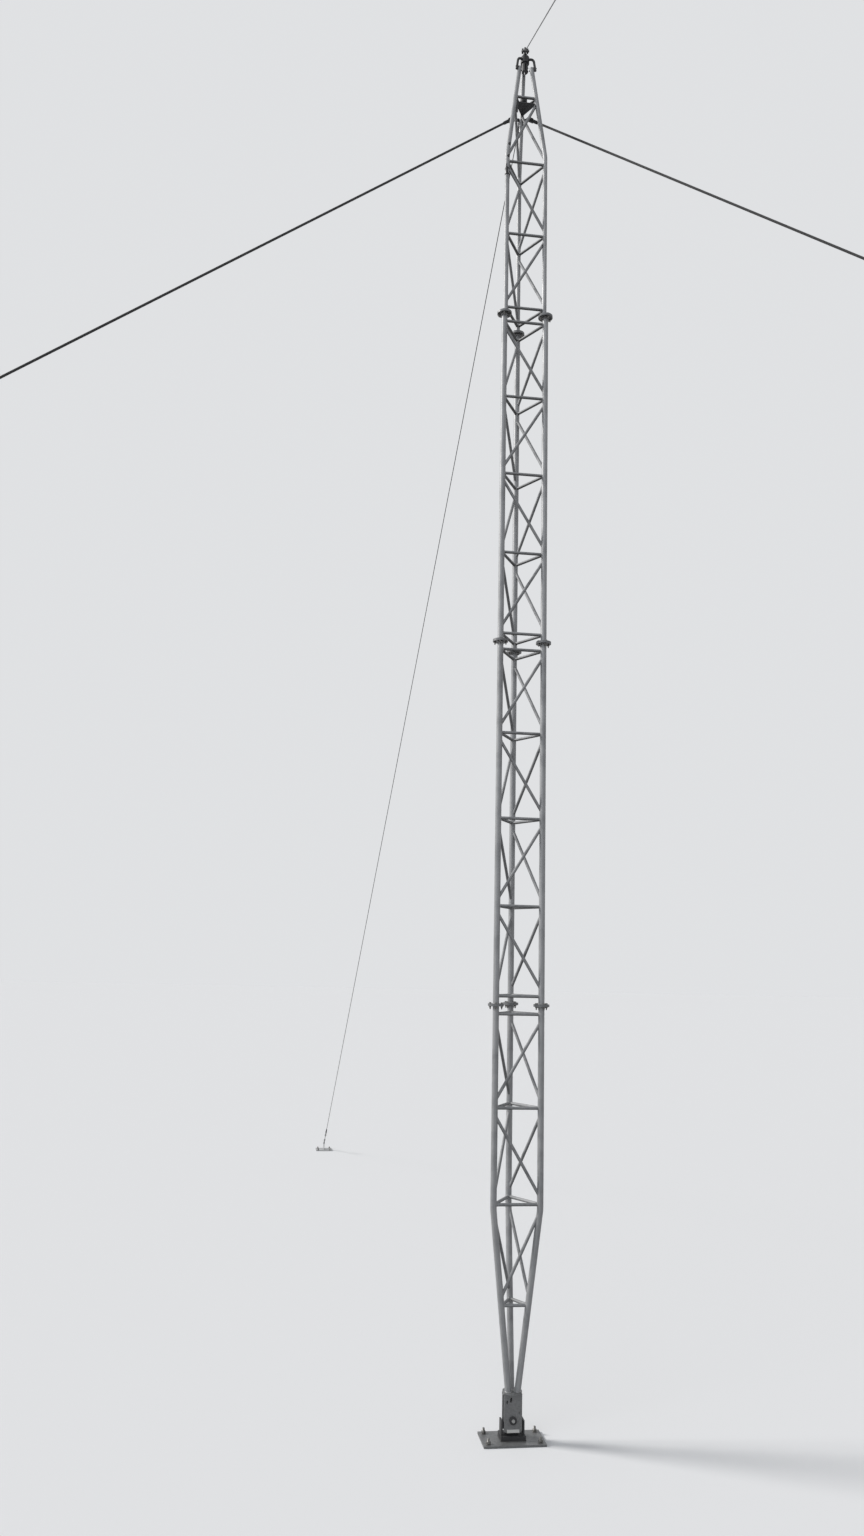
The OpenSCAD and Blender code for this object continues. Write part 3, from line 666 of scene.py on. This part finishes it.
def stranded(stay):
    """Weathered dark wire rope with six strands laid one way, and dark weathered sockets."""
    material, tree, surface = shader(f"{stay}_stay_wire", metallic=0.5, roughness=0.48)
    distance, angle, vector = along_line(tree, stay_start(stay), anchor_eye(stay))
    strands = wave(tree, distance, angle, per_metre=22.0, strands=6.0)
    wires = wave(tree, distance, angle, per_metre=140.0, strands=-18.0)
    cloud = noise(tree, vector, scale=25.0, detail=4.0)
    rope = ramp(tree, strands, [(0.1, (0.030, 0.030, 0.032)), (0.7, (0.13, 0.132, 0.136))])
    rope = mix_colour(tree, range_of(tree, cloud, 0.0, 0.5), rope, (0.10, 0.092, 0.085))
    sockets = ramp(tree, cloud, [(0.35, (0.050, 0.050, 0.052)), (0.65, (0.115, 0.115, 0.118))])
    height = math_node(tree, "ADD", strands, math_node(tree, "MULTIPLY", wires, 0.25))
    colour, height = rope_and_sockets(tree, stay, distance, rope, sockets, height)
    tree.links.new(colour, surface.inputs["Base Color"])
    bump(tree, surface, height, distance=0.0009)
    return material


def threaded(stay):
    """Galvanised rigging screw, with a fine thread on its rods only."""
    material = galvanised(f"{stay}_screw_zinc")
    tree = material.node_tree
    surface = tree.nodes["Principled BSDF"]
    distance, angle, vector = along_line(tree, anchor_eye(stay), stay_start(stay))
    across = tree.nodes.new("ShaderNodeVectorMath")
    across.operation = "MULTIPLY"
    across.inputs[1].default_value = (0, 1, 1)
    tree.links.new(vector, across.inputs[0])
    off_line = tree.nodes.new("ShaderNodeVectorMath")
    off_line.operation = "LENGTH"
    tree.links.new(across.outputs["Vector"], off_line.inputs[0])
    just_past_rod = SCREW_ROD_R * STAY_SCALE[stay] * 1.05
    rod = math_node(tree, "LESS_THAN", off_line.outputs["Value"], just_past_rod)
    thread = wave(tree, distance, angle, per_metre=400.0, strands=1.0)
    thread_on_rods = math_node(tree, "MULTIPLY", thread, rod)
    bump(tree, surface, thread_on_rods, distance=0.0009, strength=0.8)
    return material


def weld_metal(name, dull, pale):
    """Ripple of weld, cloudy with soot."""
    material, tree, surface = shader(name, metallic=0.55, roughness=0.42)
    cloud = noise(tree, object_place(tree), scale=160.0, detail=4.0)
    tree.links.new(ramp(tree, cloud, [(0.3, dull), (0.7, pale)]), surface.inputs["Base Color"])
    bump(tree, surface, cloud, distance=0.0004)
    return material


def bolt_zinc():
    """Bright zinc on bolts, stained dark in places."""
    material, tree, surface = shader("bolt_zinc", metallic=0.75, roughness=0.38)
    cloud = noise(tree, object_place(tree), scale=90.0, detail=5.0, roughness=0.65)
    colour = ramp(tree, cloud, [(0.3, (0.07, 0.068, 0.065)), (0.62, (0.24, 0.235, 0.225))])
    tree.links.new(colour, surface.inputs["Base Color"])
    bump(tree, surface, cloud, distance=0.0003)
    return material


def background_rays(tree):
    """A mask: one for rays that should see the pale background, the camera's, gloss and glass."""
    rays = tree.nodes.new("ShaderNodeLightPath")
    seen = math_node(tree, "MAXIMUM", rays.outputs["Is Camera Ray"], rays.outputs["Is Glossy Ray"])
    return math_node(tree, "MAXIMUM", seen, rays.outputs["Is Transmission Ray"])


def floor_finish():
    """Plain pale floor, which throws less light back up at the mast than it shows."""
    material, tree, surface = shader("pale_floor", metallic=0.0, roughness=1.0)
    surface.inputs["Specular IOR Level"].default_value = 0.0
    colour = mix_colour(tree, background_rays(tree), FLOOR_THROWN, FLOOR_SEEN)
    tree.links.new(colour, surface.inputs["Base Color"])
    return material


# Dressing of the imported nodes

def dress(name, material):
    """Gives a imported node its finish."""
    slots = nodes[name].data.materials
    slots.clear()
    slots.append(material)


leg_tube = drawn_aluminium("leg_aluminium", pale=(0.36, 0.364, 0.372), dull=(0.25, 0.254, 0.262),
                           drawn_scale=(260, 260, 3), roughness=(0.56, 0.38), painted_flange_shade=True)
# The bracing is the same aluminium as the legs, its colours painted darker as shade.
brace_tube = drawn_aluminium("brace_aluminium", pale=(0.31, 0.314, 0.322),
                             dull=(0.21, 0.214, 0.222), drawn_scale=(40, 40, 40),
                             roughness=(0.72, 0.58))
zinc = galvanised()
foot = foot_steel()
paint = dark_steel()
weld = weld_metal("weld_metal", (0.26, 0.26, 0.26), (0.46, 0.46, 0.46))
dark_weld = weld_metal("dark_weld", (0.030, 0.030, 0.031), (0.075, 0.073, 0.070))
bolt = bolt_zinc()
round_nut = pin_steel()

for node_name in nodes:
    stay_name = node_name.split("_")[0]
    if "_leg_" in node_name:
        dress(node_name, leg_tube)
    elif "bracing" in node_name:
        dress(node_name, brace_tube)
    elif node_name in ("base_plate", "foot_fork"):
        dress(node_name, foot)
    elif node_name == "foot_pin":
        dress(node_name, round_nut)
    elif node_name.endswith("_anchor"):
        dress(node_name, zinc)
    elif node_name.endswith("_rigging_screw"):
        dress(node_name, threaded(stay_name))
    elif node_name in ("port_stay", "starboard_stay"):
        dress(node_name, braided(stay_name))
    elif node_name.endswith("_stay"):
        dress(node_name, stranded(stay_name))
    else:
        dress(node_name, paint)


# Welds of the lattice

def ring_heights():
    """Each section's ring heights from the ground up, and whether its first diagonal rises."""
    first, second, third = JOINT_Z
    bottom_bay = (first - RING_OFFSET - BEND_RING_Z) / 2
    middle_bay = (second - first - 2 * RING_OFFSET) / 4
    bottom = [FOOT_RING_Z, BEND_RING_Z, BEND_RING_Z + bottom_bay, first - RING_OFFSET]
    lower = [first + RING_OFFSET + i * middle_bay for i in range(5)]
    upper = [second + RING_OFFSET + i * middle_bay for i in range(5)]
    top = [third + RING_OFFSET + i * TOP_BAY_H for i in range(3)] + [HEAD_RING_Z]
    return {"bottom": (bottom, True), "lower": (lower, False), "upper": (upper, True),
            "top": (top, True)}


def bar_ends(k, rings, rises_first):
    """The bars of one face, each as its two (leg, height) ends."""
    following = (k + 1) % 3
    for z in rings:
        yield (k, z), (following, z)
    for i, (low, high) in enumerate(zip(rings, rings[1:])):
        rises = (i % 2 == 0) == rises_first
        ends = (low + DIAGONAL_GAP, high - DIAGONAL_GAP)
        first, second = ends if rises else ends[::-1]
        yield (k, first), (following, second)


def make_lattice_welds():
    """A bead round both ends of every bar, lying on the leg that the bar meets."""
    for section, (rings, rises_first) in ring_heights().items():
        piece = bmesh.new()
        radius = TOP_LEG_R if section == "top" else LEG_R
        for k in range(3):
            for ends in bar_ends(k, rings, rises_first):
                for (leg, z), (other, other_z) in (ends, ends[::-1]):
                    start = on_leg(leg, z)
                    direction = (on_leg(other, other_z) - start).normalized()
                    axis = leg_direction(leg, z)

                    def reach(seat, direction=direction, start=start, axis=axis, radius=radius):
                        """Where the bar's wall comes out of its leg."""
                        return along_to_bar(seat, direction, start, axis, radius)

                    add_bead(piece, start, direction, BRACE_R, reach, BRACE_BEAD_R)
        finish_piece(f"{section}_section_welds", piece, weld, 60)


def make_flange_welds():
    """A bead round each leg on the back of its flange, and where the legs stand on the crown."""
    piece = bmesh.new()
    just_past = 0.02
    for joint, z in enumerate(JOINT_Z):
        for k in range(3):
            for side in (-1, 1):
                radius = TOP_LEG_R if joint == 2 and side == 1 else LEG_R
                height = z + side * (FLANGE_T + 0.001)
                at = facing(k) * radial(z + side * just_past) + Vector((0, 0, height))
                add_bead(piece, at, (0, 0, 1), radius, lambda seat: 0.0, LEG_BEAD_R, steps=32)
    for k in range(3):
        direction = leg_direction(k, CROWN_Z + just_past)
        at = on_leg(k, CROWN_Z)

        def reach(seat, direction=direction):
            """Where the leg's wall stands on the crown."""
            return (CROWN_Z - seat.z) / direction.z

        add_bead(piece, at, direction, LEG_R, reach, LEG_BEAD_R, steps=32)
    finish_piece("flange_welds", piece, weld, 60)


def make_foot_welds():
    """Fillets of the cheeks under the crown and beside the neck, and of the pad and the guides."""
    piece = bmesh.new()
    cheek_x = CHEEK_W / 2
    seam_x = cheek_x - 0.008
    crown = CROWN_UNDERSIDE_Z
    ground = BASE_TOP_Z
    pad_x, pad_y = PAD_HALF
    for y in (-CHEEK_FACE_Y, CHEEK_FACE_Y):
        add_fillet(piece, (-seam_x, y, crown), (seam_x, y, crown), CROWN_BEAD_R)
    for side in (-1, 1):
        for y in (-CHEEK_INSIDE_Y, CHEEK_INSIDE_Y):
            seam_low = (side * cheek_x, y, CHEEK_SEAM_LOW_Z)
            seam_high = (side * cheek_x, y, crown - 0.002)
            add_fillet(piece, seam_low, seam_high, CHEEK_BEAD_R)
        add_fillet(piece, (side * pad_x, -pad_y, ground), (side * pad_x, pad_y, ground), PAD_BEAD_R)
        add_fillet(piece, (-pad_x, side * pad_y, ground), (pad_x, side * pad_y, ground), PAD_BEAD_R)
        for x in GUIDE_X:
            add_fillet(piece, (side * x, -GUIDE_HALF_DEPTH, PAD_TOP_Z),
                       (side * x, GUIDE_HALF_DEPTH, PAD_TOP_Z), GUIDE_BEAD_R)
    finish_piece("foot_welds", piece, dark_weld, 60)


def make_head_welds():
    """Two fillets between each head arm and its leg."""
    piece = bmesh.new()
    for k in range(3):
        across, outward = leg_sides(k, HEAD_Z)
        for side in (-1, 1):
            seam = outward * (TOP_LEG_R + 0.001) + across * side * 0.006
            low = on_leg(k, ARM_LOW_Z + 0.002)
            high = on_leg(k, HEAD_Z - 0.002)
            add_fillet(piece, low + seam, high + seam, ARM_BEAD_R)
    finish_piece("head_welds", piece, dark_weld, 60)


# Bolts

def make_joint_bolts():
    """Four long bolts through each pair of flanges, their threads hanging below."""
    for joint, z in zip(("first", "second", "third"), JOINT_Z):
        piece = bmesh.new()
        for k in range(3):
            centre = facing(k) * LEG_SPACING / math.sqrt(3)
            for quarter in range(4):
                angle = math.radians(bearing(k) + 45 + 90 * quarter)
                at = centre + BOLT_CIRCLE_R * level(angle)
                head = place(at + Vector((0, 0, z + FLANGE_T)), (0, 0, 1), angle)
                nut = place(at + Vector((0, 0, z - FLANGE_T)), (0, 0, -1), angle)
                add_bolt_head(piece, FLANGE_BOLT_R, head)
                add_bolt_end(piece, FLANGE_BOLT_R, nut, FLANGE_BOLT_TAIL)
        finish_piece(f"{joint}_joint_bolts", piece, bolt)


def make_plate_bolts(name, plate, edge, bolt_r, tail, top):
    """Anchor bolts with washers and nuts in the corners of a plate, each nut turned its own way."""
    low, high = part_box(plate)
    piece = bmesh.new()
    for x in (low.x + edge, high.x - edge):
        for y in (low.y + edge, high.y - edge):
            turn = x * 7 + y * 3
            add_bolt_end(piece, bolt_r, place((x, y, top), (0, 0, 1), turn), tail)
    finish_piece(name, piece, bolt)


def make_head_bolts():
    """A bolt through each head arm and its leg, and two across the spindle's slotted sleeve."""
    piece = bmesh.new()
    arm_z = (ARM_LOW_Z + HEAD_Z) / 2
    sunk = 0.0005
    for k in range(3):
        outward = leg_sides(k, arm_z)[1]
        outside = on_leg(k, arm_z) + outward * (TOP_LEG_R + 2 * ARM_R - sunk)
        inside = on_leg(k, arm_z) - outward * (TOP_LEG_R - sunk)
        add_bolt_head(piece, HEAD_BOLT_R, place(outside, outward, 0.4))
        add_bolt_end(piece, HEAD_BOLT_R, place(inside, -outward), HEAD_BOLT_TAIL)
    sleeve_x = SLEEVE_R - 2 * sunk
    for z in SLEEVE_BOLT_ZS:
        add_bolt_head(piece, HEAD_BOLT_R, place((sleeve_x, 0, z), (1, 0, 0)))
        add_bolt_end(piece, HEAD_BOLT_R, place((-sleeve_x, 0, z), (-1, 0, 0)), HEAD_BOLT_TAIL)
    finish_piece("head_bolts", piece, paint)


def add_cleat(piece):
    """A cleat of two horns on two posts, on a base that two bands hold to the left leg."""
    sunk = 0.002
    seat = on_leg(LEFT, CLEAT_Z)
    outward = level(CLEAT_TURN)
    on_face = Matrix.Translation((TOP_LEG_R - sunk, 0, 0)) @ Matrix.Rotation(math.pi / 2, 4, "Y")
    add_block(piece, CLEAT_BASE, place(seat, (0, 0, 1), CLEAT_TURN) @ on_face, edge=0.0015)
    post = [(0, 0), (0.007, 0), (0.005, 0.006), (0.005, CLEAT_POST_H), (0, CLEAT_POST_H)]
    half_horn = [(0.0085, 0.012), (0.0055, 0.035), (0.0045, 0.054), (0, 0.056)]
    horns = [(r, -z) for r, z in reversed(half_horn)] + half_horn
    inner, outer = TOP_LEG_R, TOP_LEG_R + CLEAT_BAND_T
    low, high = -CLEAT_BAND_HALF, CLEAT_BAND_HALF
    band = [(inner, low), (outer, low), (outer, high), (inner, high), (inner, low)]
    for side in (-1, 1):
        on_post = seat + outward * TOP_LEG_R + Vector((0, 0, side * CLEAT_POST_OFF))
        add_turned(piece, post, place(on_post, outward), steps=12)
    add_turned(piece, horns, place(seat + outward * (TOP_LEG_R + CLEAT_POST_H)), steps=14)
    for side in (-1, 1):
        add_turned(piece, band, place(seat + Vector((0, 0, side * CLEAT_BAND_OFF))), steps=32)


def make_leg_fittings():
    """Bolt heads on the top section's legs, and a small cleat on the left leg."""
    piece = bmesh.new()
    sunk = 0.001
    for k, z, side in LEG_BOLTS:
        outward = level(math.radians(side))
        at = on_leg(k, z) + outward * (TOP_LEG_R - sunk)
        add_bolt_head(piece, LEG_BOLT_R, place(at, outward))
    add_cleat(piece)
    finish_piece("leg_fittings", piece, paint)


def add_split_pin(piece, scale, where):
    """A split pin: its two legs through the end of a socket pin, opened a little, and its eye."""
    wire_r = SPLIT_PIN_WIRE_R * scale
    half = SPLIT_PIN_HALF * scale
    opened = 0.09
    for side in (-1, 1):
        lean = Matrix.Rotation(side * opened, 4, "Y")
        leg = where @ Matrix.Translation((side * wire_r, 0, 0)) @ lean
        add_turned(piece, [(0, -half), (wire_r, -half), (wire_r, half), (0, half)], leg, steps=6)
    eye = round_ring(2 * wire_r, wire_r, steps=12)
    add_part(piece, eye, where @ Matrix.Translation((0, 0, -half - 0.002 * scale))
             @ Matrix.Rotation(math.pi / 2, 4, "X"))


def make_rigging_fasteners(stay):
    """Locknuts against the body of a stay's rigging screw, and the split pins of its sockets."""
    piece = bmesh.new()
    scale = STAY_SCALE[stay]
    screw = lay(anchor_eye(stay), stay_start(stay))
    across = ACROSS_FLATS * SCREW_ROD_R * scale
    for x, end in ((SCREW_BODY_FROM * scale, -1), ((SCREW_LENGTH - SCREW_BODY_FROM) * scale, 1)):
        along = screw @ Matrix.Translation((x, 0, 0)) @ Matrix.Rotation(end * math.pi / 2, 4, "Y")
        add_hexagon(piece, across, LOCKNUT_H * scale, along, both_ends=True)
    pins = [screw, screw @ Matrix.Translation((SCREW_LENGTH * scale, 0, 0))]
    if stay != "fore":
        pins.append(lay(stay_start(stay), anchor_eye(stay)))
    in_from_end = (SOCKET_PIN_HALF - 0.0022) * scale
    for pin in pins:
        for side in (-1, 1):
            at = Matrix.Translation((0, side * in_from_end, 0))
            upright = Matrix.Rotation(side * math.pi / 2, 4, "Y")
            add_split_pin(piece, scale, pin @ at @ upright)
    finish_piece(f"{stay}_rigging_fasteners", piece, bolt)


make_lattice_welds()
make_flange_welds()
make_foot_welds()
make_head_welds()
make_joint_bolts()
make_head_bolts()
make_leg_fittings()
for stay in STAYS:
    make_rigging_fasteners(stay)
make_plate_bolts("base_bolts", "base_plate", BASE_BOLT_EDGE, BASE_BOLT_R,
                 BASE_BOLT_TAIL, BASE_TOP_Z)
for stay in STAYS:
    make_plate_bolts(f"{stay}_anchor_bolts", f"{stay}_anchor", ANCHOR_BOLT_EDGE, ANCHOR_BOLT_R,
                     ANCHOR_BOLT_TAIL, ANCHOR_TOP_Z)


# Camera, floor and light

CAMERA_AT = (-1.9676, -9.1777, 3.5548)
CAMERA_YAW = -0.13433
CAMERA_PITCH = 0.17019
CAMERA_ROLL = 0.02264
FOCAL_PX = 1135.6
LONG_SIDE_PX = 1536
SENSOR_MM = 36
FLOOR_HALF = 150
SKY_COLOUR = (0.95, 0.97, 1.0)
SKY_STRENGTH = 0.38


def make_camera():
    """The camera that took the photo, fitted to the mast; its angles are in radians."""
    camera = bpy.data.objects.new("camera", bpy.data.cameras.new("camera"))
    bpy.context.scene.collection.objects.link(camera)
    camera.data.sensor_width = SENSOR_MM
    camera.data.lens = FOCAL_PX * SENSOR_MM / LONG_SIDE_PX
    camera.data.clip_start = 0.05
    camera.data.clip_end = 400
    camera.matrix_world = (Matrix.Translation(CAMERA_AT) @ Matrix.Rotation(CAMERA_YAW, 4, "Z")
                           @ Matrix.Rotation(math.pi / 2 + CAMERA_PITCH, 4, "X")
                           @ Matrix.Rotation(CAMERA_ROLL, 4, "Z"))
    bpy.context.scene.camera = camera


def make_floor():
    """One wide flat floor."""
    grid = bmesh.new()
    bmesh.ops.create_grid(grid, x_segments=1, y_segments=1, size=FLOOR_HALF)
    mesh = bpy.data.meshes.new("floor")
    grid.to_mesh(mesh)
    grid.free()
    mesh.materials.append(floor_finish())
    floor = bpy.data.objects.new("floor", mesh)
    bpy.context.scene.collection.objects.link(floor)


def make_sun(name, energy, angle, direction, colour):
    """A soft distant light; its angle in degrees says how soft."""
    sun = bpy.data.lights.new(name, "SUN")
    sun.energy = energy
    sun.angle = math.radians(angle)
    sun.color = colour
    obj = bpy.data.objects.new(name, sun)
    obj.rotation_euler = Vector(direction).to_track_quat("-Z", "Y").to_euler()
    bpy.context.scene.collection.objects.link(obj)


def make_world():
    """Even light from the sky, while the camera, gloss and glass see the background."""
    world = bpy.data.worlds.new("world")
    bpy.context.scene.world = world
    world.use_nodes = True
    tree = world.node_tree
    light = tree.nodes["Background"]
    light.inputs["Color"].default_value = (*SKY_COLOUR, 1)
    light.inputs["Strength"].default_value = SKY_STRENGTH
    seen = tree.nodes.new("ShaderNodeBackground")
    seen.inputs["Color"].default_value = (*BACKGROUND, 1)
    seen.inputs["Strength"].default_value = 1.0
    mix = tree.nodes.new("ShaderNodeMixShader")
    output = tree.nodes["World Output"]
    tree.links.new(background_rays(tree), mix.inputs["Fac"])
    tree.links.new(light.outputs["Background"], mix.inputs[1])
    tree.links.new(seen.outputs["Background"], mix.inputs[2])
    tree.links.new(mix.outputs["Shader"], output.inputs["Surface"])


make_camera()
make_floor()
make_world()
make_sun("key_light", energy=3.0, angle=14, direction=(0.85, -0.25, -0.55),
         colour=(1.0, 0.98, 0.95))
make_sun("fill_light", energy=0.8, angle=60, direction=(0.50, 0.75, -0.45),
         colour=(0.92, 0.96, 1.0))
bpy.context.scene.view_settings.view_transform = "Standard"
